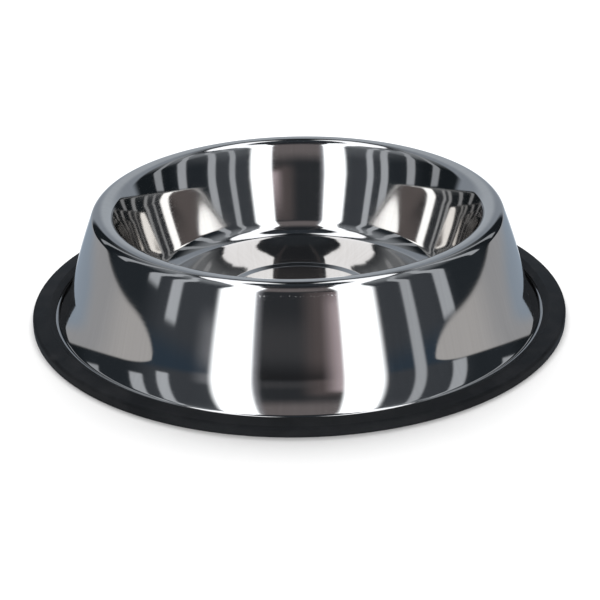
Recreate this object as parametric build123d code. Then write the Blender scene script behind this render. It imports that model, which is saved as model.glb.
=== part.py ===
"""Non-tip dog bowl: one drawn steel sheet whose foot flange sits in the groove of a rubber floor ring.

Millimetres, +Z up. The origin is on the floor, on the bowl's axis.
Both pieces are turned from a half section, drawn with X as the radius and Y as the height.
"""
from build123d import *
import os
from math import asin, cos, degrees, radians, sin

# Steel sheet
SHEET = 0.7                # thickness after drawing
EDGE_ROUND = 0.25          # deburred corners of the trimmed flange edge

# Basin
HEIGHT = 52.4              # floor to the crown of the rim
BASIN_DEPTH = 48.25        # crown of the rim to the level part of the basin floor
WALL_LEAN = 16.0           # basin wall from the vertical at its steepest, degrees
WALL_TOP_FLARE = 11.7      # the wall leans this much more under the rim, degrees
WALL_FOOT_FLARE = 4.5      # and this much more at the floor's fillet, degrees
WALL_TOP_SHARE = 0.37      # share of the wall's rise that is above its steepest height
FLOOR_FILLET = 11.1        # between the dished floor and the wall
FLOOR_DISH = 110.0         # radius of the dish that the floor makes round its level part
FLOOR_DISH_LEAN = 12.0     # the dish's slope where the fillet takes over, degrees
WELL_RADIUS = 37.7         # shallow round well in the basin floor, at the top of its step
WELL_DEPTH = 0.95
WELL_SLOPE = 22.0          # the well's step from level, degrees
WELL_ROUND = 1.0           # both bends of the well's step

# Rim
RIM_RADIUS = 89.6          # crown of the rim
RIM_INNER_FOLD = 5.8       # fold from the basin wall up to the crown
RIM_OUTER_FOLD = 5.6       # fold from the crown down to the skirt

# Skirt and foot flange
SKIRT_LEAN = 18.75         # skirt's chord from the vertical, degrees
SKIRT_BULGE = 3.05         # the skirt leans this much more at its top, and less at its foot, degrees
FOOT_SWEEP = 33.3          # wide outward bend at the foot of the skirt
FOOT_SWEEP_TURN = 24.8     # how far that bend leans the sheet outwards, degrees
FLARE_FILLET = 2.2         # between that bend and the flange
FLANGE_WIDTH = 6.85        # flat part of the flange, up to its trimmed edge

# Rubber ring
RING_SOLE = 1.9            # rubber under the flange
RING_SOLE_REACH = 4.4      # how far the sole runs inwards past the flat of the flange
RING_BACK = 3.5            # rubber outside the flange edge
RING_SIDE_HEIGHT = 4.5     # outer side, floor to its rounded top
RING_LIP_HEIGHT = 4.9      # floor to the lip's upper edge
RING_LIP_SLOPE = 2.9       # width of the slope from the lip's upper edge down to its toe
RING_LIP_TOE = 0.4         # blunt height of the toe
RING_LIP_SETBACK = 0.15    # toe of the lip from the start of the flat of the flange
RING_TOP_ROUND = 1.5       # outer top edge
RING_EDGE_ROUND = 0.4      # all other corners of the ring
LIP_CLEARANCE = 0.15       # between the flange's top and the lip
BACK_CLEARANCE = 0.3       # between the flange's edge and the back of the groove

# Heights
flange_top = RING_SOLE + SHEET
basin_floor = HEIGHT - BASIN_DEPTH
well_floor = basin_floor - WELL_DEPTH

# Basin wall: an arc that bulges into the basin over an arc that hollows, tangent at the steepest height
wall_lean = radians(WALL_LEAN)
wall_top = radians(WALL_LEAN + WALL_TOP_FLARE)
wall_foot = radians(WALL_LEAN + WALL_FOOT_FLARE)
dish_lean = radians(FLOOR_DISH_LEAN)
dish_rise = FLOOR_DISH * (1 - cos(dish_lean))
fillet_rise = FLOOR_FILLET * (cos(dish_lean) - sin(wall_foot))
wall_rise = BASIN_DEPTH - dish_rise - fillet_rise - RIM_INNER_FOLD * (1 - sin(wall_top))
upper_wall = wall_rise * WALL_TOP_SHARE / (sin(wall_top) - sin(wall_lean))
lower_wall = wall_rise * (1 - WALL_TOP_SHARE) / (sin(wall_foot) - sin(wall_lean))
wall_run = upper_wall * (cos(wall_lean) - cos(wall_top)) + lower_wall * (cos(wall_lean) - cos(wall_foot))
fillet_run = FLOOR_FILLET * (cos(wall_foot) - sin(dish_lean))
dish_radius = RIM_RADIUS - RIM_INNER_FOLD * cos(wall_top) - wall_run - fillet_run
floor_radius = dish_radius - FLOOR_DISH * sin(dish_lean)

# Well step: a straight slope between two bends. A well that is wider than the level floor starts on the dish,
# so its upper bend ends at the dish's slope there, and its step is as much higher as the dish is.
well_slope = radians(WELL_SLOPE)
edge_lean = asin(max(0, WELL_RADIUS - floor_radius) / FLOOR_DISH)
step_rise = WELL_DEPTH + FLOOR_DISH * (1 - cos(edge_lean))
bend_rise = WELL_ROUND * (1 + cos(edge_lean) - 2 * cos(well_slope))
bend_run = WELL_ROUND * (2 * sin(well_slope) - sin(edge_lean))
well_step = (step_rise - bend_rise) / sin(well_slope)
well_run = bend_run + well_step * cos(well_slope)

# Skirt: one wide arc between the outer fold and the foot's sweep
top_lean = radians(SKIRT_LEAN + SKIRT_BULGE)
foot_lean = radians(SKIRT_LEAN - SKIRT_BULGE)
sweep_lean = foot_lean + radians(FOOT_SWEEP_TURN)
sweep_drop = FOOT_SWEEP * (sin(sweep_lean) - sin(foot_lean))
sweep_run = FOOT_SWEEP * (cos(foot_lean) - cos(sweep_lean))
fold_drop = RIM_OUTER_FOLD * (1 - sin(top_lean))
flare_drop = FLARE_FILLET * (1 - sin(sweep_lean))
skirt_radius = (HEIGHT - flange_top - fold_drop - sweep_drop - flare_drop) / (sin(top_lean) - sin(foot_lean))
skirt_run = skirt_radius * (cos(foot_lean) - cos(top_lean))
skirt_foot = RIM_RADIUS + RIM_OUTER_FOLD * cos(top_lean) + skirt_run
flange_start = skirt_foot + sweep_run + FLARE_FILLET * cos(sweep_lean)
flange_edge = flange_start + FLANGE_WIDTH

# Ring
ring_inner = flange_start - RING_SOLE_REACH
ring_groove = flange_edge + BACK_CLEARANCE
ring_outer = ring_groove + RING_BACK
lip_toe = flange_start + RING_LIP_SETBACK
lip_underside = flange_top + LIP_CLEARANCE


def sheet_line(behind):
    """Half section line of the sheet, from the axis out to the flange edge.

    `behind` is the distance behind the polished face: 0 gives that face and SHEET the hidden one.
    Every stretch is tangent to the one before it. Bends whose centre is on the hidden side lose
    `behind` from their radius, and the others gain it.
    """
    well = Line((0, well_floor - behind), (WELL_RADIUS - well_run, well_floor - behind))
    rise = JernArc(well @ 1, well % 1, WELL_ROUND + behind, WELL_SLOPE)
    step = Line(rise @ 1, rise @ 1 + (rise % 1) * well_step)
    floor = [JernArc(step @ 1, step % 1, WELL_ROUND - behind, degrees(edge_lean) - WELL_SLOPE)]
    if floor_radius > WELL_RADIUS:
        floor.append(Line(floor[0] @ 1, (floor_radius, basin_floor - behind)))
    dish = JernArc(floor[-1] @ 1, floor[-1] % 1, FLOOR_DISH + behind, FLOOR_DISH_LEAN - degrees(edge_lean))
    fillet_up = JernArc(dish @ 1, dish % 1, FLOOR_FILLET + behind, 90 - FLOOR_DISH_LEAN - degrees(wall_foot))
    hollow = JernArc(fillet_up @ 1, fillet_up % 1, lower_wall + behind, WALL_FOOT_FLARE)
    bulge = JernArc(hollow @ 1, hollow % 1, upper_wall - behind, -WALL_TOP_FLARE)
    fold_in = JernArc(bulge @ 1, bulge % 1, RIM_INNER_FOLD - behind, degrees(wall_top) - 90)
    fold_out = JernArc(fold_in @ 1, fold_in % 1, RIM_OUTER_FOLD - behind, degrees(top_lean) - 90)
    skirt = JernArc(fold_out @ 1, fold_out % 1, skirt_radius - behind, degrees(foot_lean - top_lean))
    sweep = JernArc(skirt @ 1, skirt % 1, FOOT_SWEEP + behind, FOOT_SWEEP_TURN)
    flare = JernArc(sweep @ 1, sweep % 1, FLARE_FILLET + behind, 90 - degrees(sweep_lean))
    flange = Line(flare @ 1, flare @ 1 + (flare % 1) * FLANGE_WIDTH)
    basin = [well, rise, step, *floor, dish, fillet_up, hollow, bulge]
    return [*basin, fold_in, fold_out, skirt, sweep, flare, flange]


def turned(half_section):
    """The half section, moved from XY into the XZ plane and turned once round Z."""
    return revolve(Plane.XZ * half_section, Axis.Z)


def steel_bowl():
    """The drawn sheet: basin, rim, skirt and foot flange in one piece."""
    face_line = sheet_line(0)
    back_line = sheet_line(SHEET)
    on_axis = Line(face_line[0] @ 0, back_line[0] @ 0)
    trimmed = Line(face_line[-1] @ 1, back_line[-1] @ 1)
    section = make_face([*face_line, trimmed, *back_line, on_axis])
    edge_corners = section.vertices().sort_by(Axis.X)[-2:]
    return turned(fillet(edge_corners, EDGE_ROUND))


def rubber_ring():
    """The ring: a sole under the flange, a back round its edge and a sloped lip over it."""
    corners = [
        ((ring_inner, 0), RING_EDGE_ROUND),
        ((ring_outer, 0), RING_EDGE_ROUND),
        ((ring_outer, RING_SIDE_HEIGHT), RING_TOP_ROUND),
        ((lip_toe + RING_LIP_SLOPE, RING_LIP_HEIGHT), RING_EDGE_ROUND),
        ((lip_toe, lip_underside + RING_LIP_TOE), 0),
        ((lip_toe, lip_underside), 0),
        ((ring_groove, lip_underside), 0),
        ((ring_groove, RING_SOLE), 0),
        ((ring_inner, RING_SOLE), RING_EDGE_ROUND),
    ]
    outline = FilletPolyline(*[point for point, _ in corners], radius=[r for _, r in corners], close=True)
    return turned(make_face(outline))


os.makedirs("parts", exist_ok=True)
export_step(steel_bowl(), "parts/steel_bowl.step")
export_step(rubber_ring(), "parts/rubber_ring.step")
print(f"ring outer diameter {2 * ring_outer:.2f}")
print(f"level floor radius {floor_radius:.2f}, dish radius {dish_radius:.2f}")
print(f"wall arc radii {upper_wall:.1f} and {lower_wall:.1f}, skirt arc radius {skirt_radius:.1f}")
print(f"flange from {flange_start:.2f} to {flange_edge:.2f}")
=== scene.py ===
"""Looks of a steel dog bowl in its rubber floor ring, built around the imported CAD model.

Metres, +Z up, the same frame as the CAD. Both pieces are turned about Z, so each one is a half section
of (radius, height) points carried round the axis with numpy. The polished steel shows little but its
surroundings, so the studio has a light tent that only reflections see.
"""
from math import cos, pi, radians, sin

import bpy
import numpy as np
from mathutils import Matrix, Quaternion


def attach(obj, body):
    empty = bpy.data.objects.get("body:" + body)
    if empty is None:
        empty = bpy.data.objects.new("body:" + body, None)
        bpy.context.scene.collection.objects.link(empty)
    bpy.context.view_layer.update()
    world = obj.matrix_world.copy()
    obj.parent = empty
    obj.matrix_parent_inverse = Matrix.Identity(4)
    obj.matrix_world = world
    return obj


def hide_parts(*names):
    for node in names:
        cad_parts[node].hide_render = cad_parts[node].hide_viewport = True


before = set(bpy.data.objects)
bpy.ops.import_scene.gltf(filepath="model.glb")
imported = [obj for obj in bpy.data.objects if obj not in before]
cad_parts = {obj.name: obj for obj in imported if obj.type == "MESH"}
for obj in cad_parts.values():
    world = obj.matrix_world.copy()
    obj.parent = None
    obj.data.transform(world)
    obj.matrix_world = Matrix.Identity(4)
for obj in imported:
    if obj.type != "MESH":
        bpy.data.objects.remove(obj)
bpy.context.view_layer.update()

MM = 0.001

# Steel sheet, the sizes of the CAD solid
SHEET = 0.7 * MM
EDGE_ROUND = 0.25 * MM
HEIGHT = 52.4 * MM
BASIN_DEPTH = 48.25 * MM
WALL_LEAN = radians(16.0)
WALL_TOP_FLARE = radians(11.7)
WALL_FOOT_FLARE = radians(4.5)
WALL_TOP_SHARE = 0.37
FLOOR_FILLET = 11.1 * MM
FLOOR_DISH = 110.0 * MM
FLOOR_DISH_LEAN = radians(12.0)
WELL_RADIUS = 37.7 * MM
WELL_DEPTH = 0.95 * MM
WELL_SLOPE = radians(22.0)
WELL_ROUND = 1.0 * MM
RIM_RADIUS = 89.6 * MM
RIM_INNER_FOLD = 5.8 * MM
RIM_OUTER_FOLD = 5.6 * MM
SKIRT_LEAN = radians(18.75)
SKIRT_BULGE = radians(3.05)
FOOT_SWEEP = 33.3 * MM
FOOT_SWEEP_TURN = radians(24.8)
FLARE_FILLET = 2.2 * MM
FLANGE_WIDTH = 6.85 * MM

# Rubber ring, the sizes of the CAD solid, with its sharp corners softened a little
RING_SOLE = 1.9 * MM
RING_SOLE_REACH = 4.4 * MM
RING_BACK = 3.5 * MM
RING_SIDE_HEIGHT = 4.5 * MM
RING_LIP_HEIGHT = 4.9 * MM
RING_LIP_SLOPE = 2.9 * MM
RING_LIP_TOE = 0.4 * MM
RING_LIP_SETBACK = 0.15 * MM
RING_TOP_ROUND = 1.5 * MM
RING_EDGE_ROUND = 0.4 * MM
RING_FINE_ROUND = 0.12 * MM
LIP_CLEARANCE = 0.15 * MM
BACK_CLEARANCE = 0.3 * MM

# Meshes
FACES_AROUND = 320
FACES_PER_CORNER = 8       # round each corner of the ring's section
FACES_PER_EDGE = 5         # round each deburred corner of the flange
ON_AXIS = 1e-9             # a point of a section nearer the axis than this is on it

# Surface of the steel. Grains are per turn and per metre of section, those of the waves per metre each way.
STEEL_TONES = ((0.675, 0.648, 0.620), (0.705, 0.678, 0.650))
STEEL_ROUGHNESS = (0.035, 0.075)
POLISHING_GRAIN = (9, 1500, 1)
POLISHING_RELIEF = 0.00025 * MM
DRAWING_GRAIN = (420, 14, 1)
DRAWING_RELIEF = 0.0006 * MM
WAVE_GRAIN = (28, 28, 28)
WAVE_RELIEF = 0.02 * MM

# Line of scuffs under the front rim
SCUFF_GRAIN = (700, 1100, 1)
SCUFF_SPAN = (0.52, 0.70)  # noise at which a scuff begins, and at which it is fully dull
SCUFF_ROUGHNESS = 0.40     # added to the steel's
SCUFF_DROP = 1.2 * MM      # middle of the line, down from the top of the skirt
SCUFF_FADE_UP = 1.4 * MM
SCUFF_FADE_DOWN = 2.0 * MM
SCUFF_HALF_LENGTH = 0.03   # share of a turn, and as much again at each end to fade
FRONT = 0.5                # share of the turn, which starts at the back

# Surface of the rubber, with grains per metre each way
RUBBER_TONES = ((0.007, 0.008, 0.0095), (0.017, 0.018, 0.020))
RUBBER_ROUGHNESS = (0.50, 0.68)
RUBBER_SHINE = 0.2
RUBBER_GRAIN = (1400, 1400, 1400)
RUBBER_RELIEF = 0.04 * MM
DUST_GRAIN = (90, 90, 160)
DUST_SPAN = (0.42, 0.72)   # noise at which dust begins, and at which it is thickest

NOISE_SPAN = (0.3, 0.7)    # where most of a noise's values lie

# Camera of the photograph, fitted to the bowl's outlines, with its sensor and lens in millimetres
CAMERA_PLACE = (0, -0.59691, 0.28405)
CAMERA_SENSOR = 36
CAMERA_LENS = 83.123
CAMERA_ROLL = radians(-0.993)
CAMERA_SHIFT = (0.00148, 0.00341)
CAMERA_NEAR = 0.01

# Floor, and the light that falls on it
FLOOR_HALF_WIDTH = 1.2
FLOOR_PAINT = (0.9, 0.9, 0.9)
WORLD_LIGHT = 0.72
BACK_LAMP_PLACE = (0, 2.05, 2.25)
BACK_LAMP_SIZE = (5.0, 1.4)
BACK_LAMP_WATTS = 120

# Light tent: half widths of its oval plan, sideways and to the front, then elevations in degrees
TENT_HALF_WIDTH = 0.320
TENT_HALF_LENGTH = 0.772
TENT_FOOT = -50
TENT_PEAK = 88
TENT_STEP_UP = 0.6
TENT_STEP_ROUND = 0.5
TENT_CLOTH = (0.054, 0.062, 0.074)

# Bright strips between the tent's cloths: middle and width in azimuth, lowest elevation, brightness
TENT_STRIPS = [
    (-56.9, 5.2, 8.7, 0.54),
    (-69.0, 6.2, 13.0, 0.50),
    (-92.0, 6.9, 14.0, 0.42),
    (-113.4, 5.9, 14.0, 0.36),
    (49.5, 4.7, -20.0, 0.46),
    (66.8, 6.5, 6.5, 0.48),
    (92.6, 7.3, 14.0, 0.46),
    (113.3, 6.4, 14.0, 0.36),
]
STRIP_TINT = np.array((0.92, 1.0, 1.10))

MIRRORINGS = 10            # how often light may be mirrored, and is followed without being cut short

# Heights and the well's step, worked out as in the CAD
flange_top = RING_SOLE + SHEET
well_floor = HEIGHT - BASIN_DEPTH - WELL_DEPTH
well_step = (WELL_DEPTH - 2 * WELL_ROUND * (1 - cos(WELL_SLOPE))) / sin(WELL_SLOPE)
well_run = 2 * WELL_ROUND * sin(WELL_SLOPE) + well_step * cos(WELL_SLOPE)

# Basin wall and floor
wall_top = WALL_LEAN + WALL_TOP_FLARE
wall_foot = WALL_LEAN + WALL_FOOT_FLARE
dish_rise = FLOOR_DISH * (1 - cos(FLOOR_DISH_LEAN))
fillet_rise = FLOOR_FILLET * (cos(FLOOR_DISH_LEAN) - sin(wall_foot))
wall_rise = BASIN_DEPTH - dish_rise - fillet_rise - RIM_INNER_FOLD * (1 - sin(wall_top))
upper_wall = wall_rise * WALL_TOP_SHARE / (sin(wall_top) - sin(WALL_LEAN))
lower_wall = wall_rise * (1 - WALL_TOP_SHARE) / (sin(wall_foot) - sin(WALL_LEAN))
wall_run = upper_wall * (cos(WALL_LEAN) - cos(wall_top)) + lower_wall * (cos(WALL_LEAN) - cos(wall_foot))
fillet_run = FLOOR_FILLET * (cos(wall_foot) - sin(FLOOR_DISH_LEAN))
dish_radius = RIM_RADIUS - RIM_INNER_FOLD * cos(wall_top) - wall_run - fillet_run
floor_radius = dish_radius - FLOOR_DISH * sin(FLOOR_DISH_LEAN)

# Skirt and flange
top_lean = SKIRT_LEAN + SKIRT_BULGE
foot_lean = SKIRT_LEAN - SKIRT_BULGE
sweep_lean = foot_lean + FOOT_SWEEP_TURN
sweep_drop = FOOT_SWEEP * (sin(sweep_lean) - sin(foot_lean))
sweep_run = FOOT_SWEEP * (cos(foot_lean) - cos(sweep_lean))
fold_drop = RIM_OUTER_FOLD * (1 - sin(top_lean))
flare_drop = FLARE_FILLET * (1 - sin(sweep_lean))
skirt_drop = HEIGHT - flange_top - fold_drop - sweep_drop - flare_drop
skirt_radius = skirt_drop / (sin(top_lean) - sin(foot_lean))
skirt_run = skirt_radius * (cos(foot_lean) - cos(top_lean))
skirt_foot = RIM_RADIUS + RIM_OUTER_FOLD * cos(top_lean) + skirt_run
flange_start = skirt_foot + sweep_run + FLARE_FILLET * cos(sweep_lean)
flange_edge = flange_start + FLANGE_WIDTH

# Ring
ring_inner = flange_start - RING_SOLE_REACH
ring_groove = flange_edge + BACK_CLEARANCE
ring_outer = ring_groove + RING_BACK
lip_toe = flange_start + RING_LIP_SETBACK
lip_underside = flange_top + LIP_CLEARANCE


def traced(start, stretches):
    """Points of a section line that leaves `start` level and outwards.

    A stretch is (length, turn, steps). Its heading changes evenly along it, so the point at length s is
    s * sinc(k s / 2) away, along the heading half way there, with k the turn per length. A turn of 0 is
    a straight stretch. Steps are finer at the ends of a stretch, where the curvature changes.
    """
    place = np.array(start)
    heading = 0.0
    line = [place[None]]
    for length, turn, steps in stretches:
        even = np.arange(1, steps + 1)[:, None] / steps
        share = 0.5 * even + 0.25 * (1 - np.cos(pi * even))
        half_turn = turn * share / 2
        reach = length * share * np.sinc(half_turn / pi)
        way = heading + half_turn
        line.append(place + reach * np.hstack([np.cos(way), np.sin(way)]))
        place = line[-1][-1]
        heading += turn
    return np.vstack(line)


def arc(radius, turn, steps):
    """A stretch that bends with that radius."""
    return (radius * abs(turn), turn, steps)


def basin_stretches(behind, fineness):
    """The sheet's stretches from the axis over the rim, at a distance behind its polished face.

    Bends whose centre is on the hidden side lose `behind` from their radius, and the others gain it.
    """
    return [
        (WELL_RADIUS - well_run, 0, 5 * fineness),
        arc(WELL_ROUND + behind, WELL_SLOPE, 4 * fineness),
        (well_step, 0, 1 * fineness),
        arc(WELL_ROUND - behind, -WELL_SLOPE, 4 * fineness),
        (floor_radius - WELL_RADIUS, 0, 1 * fineness),
        arc(FLOOR_DISH + behind, FLOOR_DISH_LEAN, 6 * fineness),
        arc(FLOOR_FILLET + behind, pi / 2 - wall_foot - FLOOR_DISH_LEAN, 9 * fineness),
        arc(lower_wall + behind, WALL_FOOT_FLARE, 7 * fineness),
        arc(upper_wall - behind, -WALL_TOP_FLARE, 7 * fineness),
        arc(RIM_INNER_FOLD - behind, wall_top - pi / 2, 10 * fineness),
        arc(RIM_OUTER_FOLD - behind, top_lean - pi / 2, 10 * fineness),
    ]


def skirt_stretches(behind, fineness):
    """The sheet's further stretches, from the top of the skirt to the flange, in the same way."""
    return [
        arc(skirt_radius - behind, foot_lean - top_lean, 10 * fineness),
        arc(FOOT_SWEEP + behind, FOOT_SWEEP_TURN, 8 * fineness),
        arc(FLARE_FILLET + behind, pi / 2 - sweep_lean, 6 * fineness),
        (FLANGE_WIDTH - EDGE_ROUND, 0, 3 * fineness),
    ]


def sheet_section():
    """Half section of the sheet: polished face outwards, deburred edge, hidden face back to the axis."""
    deburred = arc(EDGE_ROUND, -pi / 2, FACES_PER_EDGE)
    trimmed = [deburred, (SHEET - 2 * EDGE_ROUND, 0, 1), deburred]
    polished = basin_stretches(behind=0, fineness=2) + skirt_stretches(behind=0, fineness=2)
    hidden = basin_stretches(behind=SHEET, fineness=1) + skirt_stretches(behind=SHEET, fineness=1)
    face = traced((0, well_floor), polished + trimmed)
    back = traced((0, well_floor - SHEET), hidden)
    return np.vstack([face, back[-2::-1]])


def rounded(corners, steps):
    """Closed outline with an arc at every corner.

    A corner is (radius, height, round). Between the headings in and out of it, which differ by a turn,
    the arc starts round * tan(turn / 2) before the corner and bends evenly, as in `traced`.
    """
    corners = np.array(corners)
    points = corners[:, :2]
    away = np.roll(points, -1, axis=0) - points
    heading_out = np.arctan2(away[:, 1], away[:, 0])
    heading_in = np.roll(heading_out, 1)
    turn = (heading_out - heading_in + pi) % (2 * pi) - pi
    set_back = corners[:, 2] * np.tan(np.abs(turn) / 2)
    start = points - set_back[:, None] * np.stack([np.cos(heading_in), np.sin(heading_in)], axis=1)
    share = np.linspace(0, 1, steps + 1)
    half_turn = turn[:, None] * share / 2
    reach = corners[:, 2:] * np.abs(turn)[:, None] * share * np.sinc(half_turn / pi)
    way = heading_in[:, None] + half_turn
    arcs = start[:, None] + reach[..., None] * np.stack([np.cos(way), np.sin(way)], axis=-1)
    return arcs.reshape(-1, 2)


def ring_section():
    """Half section of the ring: sole, groove, sloped lip, outer side, in the turning order of the sheet."""
    corners = [
        (ring_inner, 0, RING_EDGE_ROUND),
        (ring_inner, RING_SOLE, RING_EDGE_ROUND),
        (ring_groove, RING_SOLE, RING_FINE_ROUND),
        (ring_groove, lip_underside, RING_FINE_ROUND),
        (lip_toe, lip_underside, RING_FINE_ROUND),
        (lip_toe, lip_underside + RING_LIP_TOE, RING_FINE_ROUND),
        (lip_toe + RING_LIP_SLOPE, RING_LIP_HEIGHT, RING_EDGE_ROUND),
        (ring_outer, RING_SIDE_HEIGHT, RING_TOP_ROUND),
        (ring_outer, 0, RING_EDGE_ROUND),
    ]
    return rounded(corners, FACES_PER_CORNER)


def placed(name, data):
    """A new object in the scene."""
    thing = bpy.data.objects.new(name, data)
    bpy.context.scene.collection.objects.link(thing)
    return thing


def aimed(name, data, place, roll):
    """A camera or lamp that looks at the middle of the ring's underside, rolled about its line of sight."""
    thing = placed(name, data)
    thing.location = place
    thing.rotation_mode = "QUATERNION"
    aim = (-thing.location).to_track_quat("-Z", "Y")
    thing.rotation_quaternion = aim @ Quaternion((0, 0, 1), roll)
    return thing


def turned(name, section, around, closed):
    """A half section carried once round Z.

    Point i at angle a is (-r_i sin a, r_i cos a, h_i), with a from 0 at the back. A point on the axis
    is one vertex with a fan of triangles round it. A closed section joins its last point to its first.
    UV is the share of the turn and the length along the section in metres.
    """
    radii, heights = section.T
    pole = radii < ON_AXIS
    angle = 2 * pi * np.arange(around) / around
    grid = np.stack([
        np.outer(radii, -np.sin(angle)),
        np.outer(radii, np.cos(angle)),
        np.repeat(heights[:, None], around, axis=1),
    ], axis=-1)
    kept = np.ones(grid.shape[:2], dtype=bool)
    kept[pole, 1:] = False
    number = np.cumsum(kept.ravel()).reshape(kept.shape) - 1
    number[pole] = number[pole, :1]
    along = np.concatenate([[0], np.cumsum(np.hypot(*np.diff(section, axis=0).T))])
    if closed:
        number = np.vstack([number, number[:1]])
        closing = np.hypot(*(section[0] - section[-1]))
        along = np.append(along, along[-1] + closing)
        pole = np.append(pole, pole[0])
    number = np.hstack([number, number[:, :1]])
    share, length = np.meshgrid(np.arange(around + 1) / around, along)
    corner = np.stack([share, length], axis=-1)

    def quads(table):
        return np.stack([table[:-1, :-1], table[1:, :-1], table[1:, 1:], table[:-1, 1:]], axis=2)

    faces, uv = quads(number), quads(corner)
    opening, ending = pole[:-1], pole[1:]
    plain = ~(opening | ending)
    face_list = []
    uv_list = []
    for rows, pick in [(plain, [0, 1, 2, 3]), (opening, [0, 1, 2]), (ending, [0, 1, 3])]:
        face_list += faces[rows][:, :, pick].reshape(-1, len(pick)).tolist()
        uv_list.append(uv[rows][:, :, pick].reshape(-1, 2))

    mesh = bpy.data.meshes.new(name)
    mesh.from_pydata(grid[kept].tolist(), [], face_list)
    uv_values = np.concatenate(uv_list).astype(np.float32).ravel()
    mesh.uv_layers.new(name="turning").uv.foreach_set("vector", uv_values)
    mesh.shade_smooth()
    mesh.update()
    return placed(name, mesh)


def new_material(name):
    """An empty node material, its tree and its output node."""
    material = bpy.data.materials.new(name)
    material.use_nodes = True
    tree = material.node_tree
    tree.nodes.clear()
    return material, tree, tree.nodes.new("ShaderNodeOutputMaterial")


def stretched_noise(tree, place, scale, detail):
    """Noise between 0 and 1 whose grain is 1 / scale wide along each axis of `place`."""
    spread = tree.nodes.new("ShaderNodeMapping")
    spread.inputs["Scale"].default_value = scale
    noise = tree.nodes.new("ShaderNodeTexNoise")
    noise.inputs["Scale"].default_value = 1
    noise.inputs["Detail"].default_value = detail
    tree.links.new(place, spread.inputs["Vector"])
    tree.links.new(spread.outputs[0], noise.inputs["Vector"])
    return noise.outputs["Fac"]


def ranged(tree, value, low, high, to_low, to_high):
    """`value` carried from low..high to to_low..to_high, and clamped there."""
    level = tree.nodes.new("ShaderNodeMapRange")
    level.inputs["From Min"].default_value = low
    level.inputs["From Max"].default_value = high
    level.inputs["To Min"].default_value = to_low
    level.inputs["To Max"].default_value = to_high
    tree.links.new(value, level.inputs["Value"])
    return level.outputs[0]


def combined(tree, operation, first, second):
    """Two values put through one operation of a math node."""
    node = tree.nodes.new("ShaderNodeMath")
    node.operation = operation
    tree.links.new(first, node.inputs[0])
    tree.links.new(second, node.inputs[1])
    return node.outputs[0]


def mixed(tree, share, first, second):
    """A colour between two colours."""
    mix = tree.nodes.new("ShaderNodeMix")
    mix.data_type = "RGBA"
    mix.inputs["A"].default_value = (*first, 1)
    mix.inputs["B"].default_value = (*second, 1)
    tree.links.new(share, mix.inputs["Factor"])
    return mix.outputs["Result"]


def bumped(tree, height, relief, under=None):
    """Normal of a relief that many metres high, on top of another normal."""
    bump = tree.nodes.new("ShaderNodeBump")
    bump.inputs["Strength"].default_value = 1
    bump.inputs["Distance"].default_value = relief
    tree.links.new(height, bump.inputs["Height"])
    if under:
        tree.links.new(under, bump.inputs["Normal"])
    return bump.outputs[0]


def turning_uv(tree):
    """Share of the turn and length along the section."""
    turning = tree.nodes.new("ShaderNodeUVMap")
    turning.uv_map = "turning"
    return turning.outputs[0]


def ridge(tree, value, middle, half_width, fade_in, fade_out):
    """1 within `half_width` of `middle`, falling to 0.5 over the fades before and after that."""
    start = middle - half_width
    end = middle + half_width
    rising = ranged(tree, value, start - fade_in, start, 0.5, 1)
    falling = ranged(tree, value, end, end + fade_out, 1, 0.5)
    return combined(tree, "MINIMUM", rising, falling)


def scuff_line(tree, uv):
    """1 on a line below the top of the skirt at the front, falling to 0.5 on the rest of the sheet."""
    place = tree.nodes.new("ShaderNodeSeparateXYZ")
    tree.links.new(uv, place.inputs[0])
    skirt_start = sum(length for length, _, _ in basin_stretches(behind=0, fineness=1))
    middle = skirt_start + SCUFF_DROP
    down_skirt = ridge(tree, place.outputs["Y"], middle, 0, SCUFF_FADE_UP, SCUFF_FADE_DOWN)
    half = SCUFF_HALF_LENGTH
    round_front = ridge(tree, place.outputs["X"], FRONT, half, half, half)
    return combined(tree, "MINIMUM", down_skirt, round_front)


def polished_steel():
    """Mirror-polished stainless sheet.

    Faint polishing lines run round it, faint drawing lines run up it, and the sheet is a little wavy.
    A short line of scuffs follows the top of the skirt at the front.
    """
    material, tree, output = new_material("polished_steel")
    steel = tree.nodes.new("ShaderNodeBsdfPrincipled")
    steel.inputs["Metallic"].default_value = 1
    uv = turning_uv(tree)
    body = tree.nodes.new("ShaderNodeTexCoord").outputs["Object"]
    polishing = stretched_noise(tree, uv, POLISHING_GRAIN, detail=3)
    drawing = stretched_noise(tree, uv, DRAWING_GRAIN, detail=2)
    waves = stretched_noise(tree, body, WAVE_GRAIN, detail=1)
    scratches = stretched_noise(tree, uv, SCUFF_GRAIN, detail=4)
    scuffs = combined(tree, "MULTIPLY", scratches, scuff_line(tree, uv))
    tone = mixed(tree, ranged(tree, drawing, *NOISE_SPAN, 0, 1), *STEEL_TONES)
    gloss = ranged(tree, polishing, *NOISE_SPAN, *STEEL_ROUGHNESS)
    dulled = combined(tree, "ADD", gloss, ranged(tree, scuffs, *SCUFF_SPAN, 0, SCUFF_ROUGHNESS))
    normal = bumped(tree, waves, WAVE_RELIEF)
    normal = bumped(tree, drawing, DRAWING_RELIEF, normal)
    normal = bumped(tree, polishing, POLISHING_RELIEF, normal)
    tree.links.new(tone, steel.inputs["Base Color"])
    tree.links.new(dulled, steel.inputs["Roughness"])
    tree.links.new(normal, steel.inputs["Normal"])
    tree.links.new(steel.outputs[0], output.inputs["Surface"])
    return material


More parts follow.
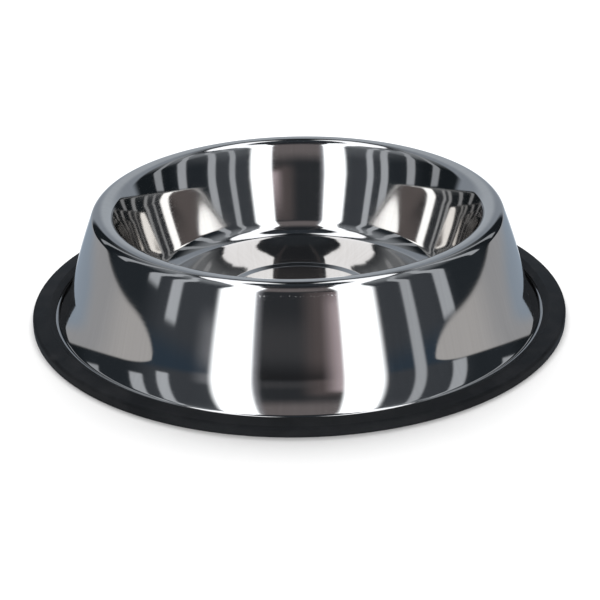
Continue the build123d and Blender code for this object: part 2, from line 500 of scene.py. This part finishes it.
def black_rubber():
    """Matte moulded rubber with a fine grain and a little dust."""
    material, tree, output = new_material("black_rubber")
    rubber = tree.nodes.new("ShaderNodeBsdfPrincipled")
    rubber.inputs["Specular IOR Level"].default_value = RUBBER_SHINE
    body = tree.nodes.new("ShaderNodeTexCoord").outputs["Object"]
    grain = stretched_noise(tree, body, RUBBER_GRAIN, detail=2)
    dust = stretched_noise(tree, body, DUST_GRAIN, detail=5)
    tone = mixed(tree, ranged(tree, dust, *DUST_SPAN, 0, 1), *RUBBER_TONES)
    gloss = ranged(tree, dust, *NOISE_SPAN, *RUBBER_ROUGHNESS)
    tree.links.new(tone, rubber.inputs["Base Color"])
    tree.links.new(gloss, rubber.inputs["Roughness"])
    tree.links.new(bumped(tree, grain, RUBBER_RELIEF), rubber.inputs["Normal"])
    tree.links.new(rubber.outputs[0], output.inputs["Surface"])
    return material


def ease(value, low, high):
    """0 below `low`, 1 above `high` and a smooth step between them."""
    share = np.clip((value - low) / (high - low), 0, 1)
    return share * share * (3 - 2 * share)


def band(value, low, high, soft):
    """1 between `low` and `high`, with edges that take `soft` to fade."""
    return ease(value, low - soft / 2, low + soft / 2) * (1 - ease(value, high - soft / 2, high + soft / 2))


def lay(glow, cover, colour):
    """The lining with a panel of that colour over it, hidden where the cover is 1."""
    return glow + cover[:, None] * (np.array(colour) - glow)


def dark_cloths(glow, azimuth, elevation):
    """Cloths all round: bluer at the foot, darker to the sides and paler high up, with a dark roof."""
    side = np.abs(azimuth)
    glow = lay(glow, 1 - ease(elevation, 2, 8), (0.032, 0.050, 0.074))
    glow = lay(glow, ease(side, 58, 76), (0.022, 0.028, 0.035))
    glow = lay(glow, ease(side, 92, 106), (0.012, 0.016, 0.020))
    glow = lay(glow, ease(elevation, 30, 58) * ease(side, 25, 45), (0.24, 0.265, 0.295))
    return lay(glow, ease(elevation, 57, 65), (0.026, 0.031, 0.038))


def front_opening(glow, azimuth, elevation):
    """Opening where the camera stands: lighter to the right and again high up, darkest at its foot."""
    front = 1 - ease(np.abs(azimuth), 22, 30)
    right_half = ease(azimuth, -2, 9) * (1 - 0.75 * ease(elevation, 18, 27))
    glow = lay(glow, front, (0.032, 0.036, 0.042))
    glow = lay(glow, front * band(elevation, 6.5, 14, 6), (0.055, 0.058, 0.065))
    glow = lay(glow, front * right_half, (0.104, 0.091, 0.095))
    glow = lay(glow, front * (1 - ease(elevation, 2, 8)), (0.016, 0.017, 0.019))
    glow = lay(glow, front * ease(elevation, 25, 38), (0.170, 0.158, 0.166))
    return lay(glow, front * ease(elevation, 46, 68), (0.024, 0.028, 0.034))


def lit_cloths(glow, azimuth, elevation):
    """Soft light on the cloths beside the lamps: warm and low on the right, cool and tall on the left."""
    glow = lay(glow, band(azimuth, 14, 32, 11) * (1 - ease(elevation, 16, 22)), (0.56, 0.485, 0.53))
    glow = lay(glow, band(azimuth, -32, -18.5, 5) * (1 - ease(elevation, 40, 52)), (0.40, 0.42, 0.47))
    return lay(glow, band(azimuth, -42, -30, 9) * band(elevation, 3.5, 13, 6), (0.19, 0.203, 0.228))


def bright_strips(glow, azimuth, elevation):
    """Strips between the cloths, which bow away from the front as they rise."""
    bow = 3 * ease(elevation, 36, 46) + 22 * ease(elevation, 43, 64)
    for middle, width, foot, brightness in TENT_STRIPS:
        across = np.abs(azimuth) - abs(middle) - bow
        same_side = np.sign(middle) == np.sign(azimuth)
        strip = same_side * band(across, -width / 2, width / 2, 1.2) * band(elevation, foot, 60, 1.5)
        glow = lay(glow, strip, brightness * STRIP_TINT)
    return glow


def back_cloth(glow, azimuth, elevation):
    """Pale cloth behind the bowl, brightest in its middle, under a dark roof."""
    side = np.abs(azimuth)
    glow = lay(glow, ease(side, 131, 138) * (1 - ease(elevation, 52, 62)), (0.27, 0.31, 0.365))
    glow = lay(glow, ease(side, 148, 172) * (1 - ease(elevation, 44, 56)), (0.42, 0.47, 0.53))
    return lay(glow, ease(side, 150, 162) * ease(elevation, 52, 64), (0.016, 0.019, 0.023))


def grey_table(glow, azimuth, elevation):
    """Table top, up to its far edge, with rounded near corners, all shifted 3 degrees to the left."""
    side = np.abs(azimuth)
    corner = np.clip((np.abs(azimuth + 3) - 59) / 14, 0, 1)
    far_edge = 6 * np.sqrt(1 - (1 - corner) ** 2) - 4 * ease(side, 108, 128) - 40 * (corner == 0)
    table = 1 - ease(elevation, far_edge - 0.6, far_edge + 0.6)
    glow = lay(glow, table, (0.475, 0.479, 0.489))
    glow = lay(glow, table * ease(side, 75, 98), (0.36, 0.375, 0.40))
    glow = lay(glow, table * ease(side, 100, 118) * (1 - ease(elevation, -6, 3)), (0.29, 0.35, 0.425))
    return lay(glow, table * ease(side, 146, 160), (0.8, 0.86, 0.93))


def lamps_and_peak(glow, azimuth, elevation):
    """Two lamps beside the front opening, shifted 1 degree to the left, which spread out under the roof.

    They are weaker there and end before the middle of the back. The tent's peak is dark.
    """
    side = np.abs(azimuth + 1)
    inner_edge = 19.5 + 14 * ease(elevation, 50, 68) + 20 * ease(elevation, 68, 73.5)
    inner_edge += 40 * ease(elevation, 72, 76) + 120 * ease(elevation, 76, 82)
    outer_edge = 35.7 + 5 * ease(elevation, 42, 54) + 25 * ease(elevation, 53, 66)
    outer_edge += 140 * ease(elevation, 63, 67)
    past_inner_edge = ease(side, inner_edge - 1.3, inner_edge + 1.3)
    past_outer_edge = ease(side, outer_edge - 2.0, outer_edge + 2.0)
    lamp = past_inner_edge * (1 - past_outer_edge) * (1 - ease(np.abs(azimuth), 152, 168))
    glow = lay(glow, lamp, (2.2, 2.35, 2.5))
    glow = lay(glow, lamp * ease(elevation, 54, 63), (1.5, 1.58, 1.7))
    return lay(glow, ease(elevation, 77, 81), (0.034, 0.042, 0.052))


def tent_glow(azimuth, elevation):
    """Brightness of the tent's lining, as red, green and blue, seen from the bowl's foot.

    Angles are in degrees: azimuth 0 is towards the camera and grows to the right, elevation 0 is level.
    Each group of panels is laid over the ones before it.
    """
    glow = np.full((len(azimuth), 3), TENT_CLOTH)
    groups = [dark_cloths, front_opening, lit_cloths, bright_strips, back_cloth, grey_table, lamps_and_peak]
    for group in groups:
        glow = group(glow, azimuth, elevation)
    return glow


def tent_lining():
    """Light of the colour that is kept at each point of the lining, left out of the sampling of lamps."""
    material, tree, output = new_material("tent_lining")
    lining = tree.nodes.new("ShaderNodeAttribute")
    lining.attribute_name = "glow"
    light = tree.nodes.new("ShaderNodeEmission")
    tree.links.new(lining.outputs["Color"], light.inputs["Color"])
    tree.links.new(light.outputs[0], output.inputs["Surface"])
    material.cycles.emission_sampling = "NONE"
    return material


def light_tent():
    """The tent: an oval upright lining that only reflections see.

    The lining's point at azimuth a and elevation e is (R sin a, -R cos a, R tan e), where the plan's
    radius R is 1 / sqrt((sin a / half width)^2 + (cos a / half length)^2).
    """
    columns = np.arange(-180, 180, TENT_STEP_ROUND)
    rows = np.arange(TENT_FOOT, TENT_PEAK + TENT_STEP_UP / 2, TENT_STEP_UP)
    azimuth, elevation = np.meshgrid(columns, rows)
    a, e = np.radians(azimuth), np.radians(elevation)
    radius = 1 / np.hypot(np.sin(a) / TENT_HALF_WIDTH, np.cos(a) / TENT_HALF_LENGTH)
    points = np.stack([radius * np.sin(a), -radius * np.cos(a), radius * np.tan(e)], axis=-1)
    number = np.arange(azimuth.size).reshape(azimuth.shape)
    ahead = np.roll(number, -1, axis=1)
    faces = np.stack([number[:-1], number[1:], ahead[1:], ahead[:-1]], axis=-1).reshape(-1, 4).tolist()
    peak = number[-1].tolist()
    mesh = bpy.data.meshes.new("light_tent")
    mesh.from_pydata(points.reshape(-1, 3).tolist(), [], faces + [peak])
    glow = np.ones((azimuth.size, 4), dtype=np.float32)
    glow[:, :3] = tent_glow(azimuth.ravel(), elevation.ravel())
    mesh.attributes.new("glow", "FLOAT_COLOR", "POINT").data.foreach_set("color", glow.ravel())
    mesh.materials.append(tent_lining())
    tent = placed("light_tent", mesh)
    tent.visible_camera = False
    tent.visible_diffuse = False
    tent.visible_transmission = False
    tent.visible_shadow = False


def floor_paint():
    """Matte white paint."""
    material, tree, output = new_material("white_floor")
    paint = tree.nodes.new("ShaderNodeBsdfDiffuse")
    paint.inputs["Color"].default_value = (*FLOOR_PAINT, 1)
    tree.links.new(paint.outputs[0], output.inputs["Surface"])
    return material


def white_floor():
    """Pale floor that reads as white outside the bowl's shadow. The steel mirrors the tent in its place."""
    half = FLOOR_HALF_WIDTH
    corners = [(-half, -half, 0), (half, -half, 0), (half, half, 0), (-half, half, 0)]
    mesh = bpy.data.meshes.new("floor")
    mesh.from_pydata(corners, [], [(0, 1, 2, 3)])
    mesh.materials.append(floor_paint())
    floor = placed("floor", mesh)
    floor.visible_glossy = False


def seen_directly(tree):
    """0 for the light that falls on things, and 1 or more for rays from the camera, a mirror or glass."""
    path = tree.nodes.new("ShaderNodeLightPath")
    seen_or_mirrored = combined(tree, "ADD", path.outputs["Is Camera Ray"], path.outputs["Is Glossy Ray"])
    return combined(tree, "ADD", seen_or_mirrored, path.outputs["Is Transmission Ray"])


def white_world():
    """White to the camera and to reflections, and a plain grey light on everything else."""
    world = bpy.data.worlds.new("studio")
    bpy.context.scene.world = world
    world.use_nodes = True
    tree = world.node_tree
    tree.nodes.clear()
    sky = tree.nodes.new("ShaderNodeBackground")
    sky.inputs["Color"].default_value = (1, 1, 1, 1)
    output = tree.nodes.new("ShaderNodeOutputWorld")
    strength = ranged(tree, seen_directly(tree), 0, 1, WORLD_LIGHT, 1)
    tree.links.new(strength, sky.inputs["Strength"])
    tree.links.new(sky.outputs[0], output.inputs["Surface"])


def back_lamp():
    """One wide lamp above and behind the bowl, so that its soft shadow falls to the front."""
    lamp = bpy.data.lights.new("back_lamp", "AREA")
    lamp.shape = "RECTANGLE"
    lamp.size, lamp.size_y = BACK_LAMP_SIZE
    lamp.energy = BACK_LAMP_WATTS
    lamp_object = aimed("back_lamp", lamp, BACK_LAMP_PLACE, roll=0)
    lamp_object.visible_glossy = False


def photo_camera():
    """The camera, rolled and shifted as the photograph is."""
    lens = bpy.data.cameras.new("camera")
    lens.lens = CAMERA_LENS
    lens.sensor_width = CAMERA_SENSOR
    lens.shift_x, lens.shift_y = CAMERA_SHIFT
    lens.clip_start = CAMERA_NEAR
    bpy.context.scene.camera = aimed("camera", lens, CAMERA_PLACE, CAMERA_ROLL)


photo_camera()
white_world()
white_floor()
back_lamp()
light_tent()

bowl = turned("bowl_sheet", sheet_section(), FACES_AROUND, closed=False)
bowl.data.materials.append(polished_steel())
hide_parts("steel_bowl")
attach(bowl, "bowl")

ring = turned("floor_ring_rubber", ring_section(), FACES_AROUND, closed=True)
ring.data.materials.append(black_rubber())
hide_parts("rubber_ring")
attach(ring, "floor_ring")

# The basin mirrors itself several times over
bpy.context.scene.cycles.glossy_bounces = MIRRORINGS
bpy.context.scene.cycles.min_light_bounces = MIRRORINGS
bpy.context.scene.view_settings.view_transform = "Standard"
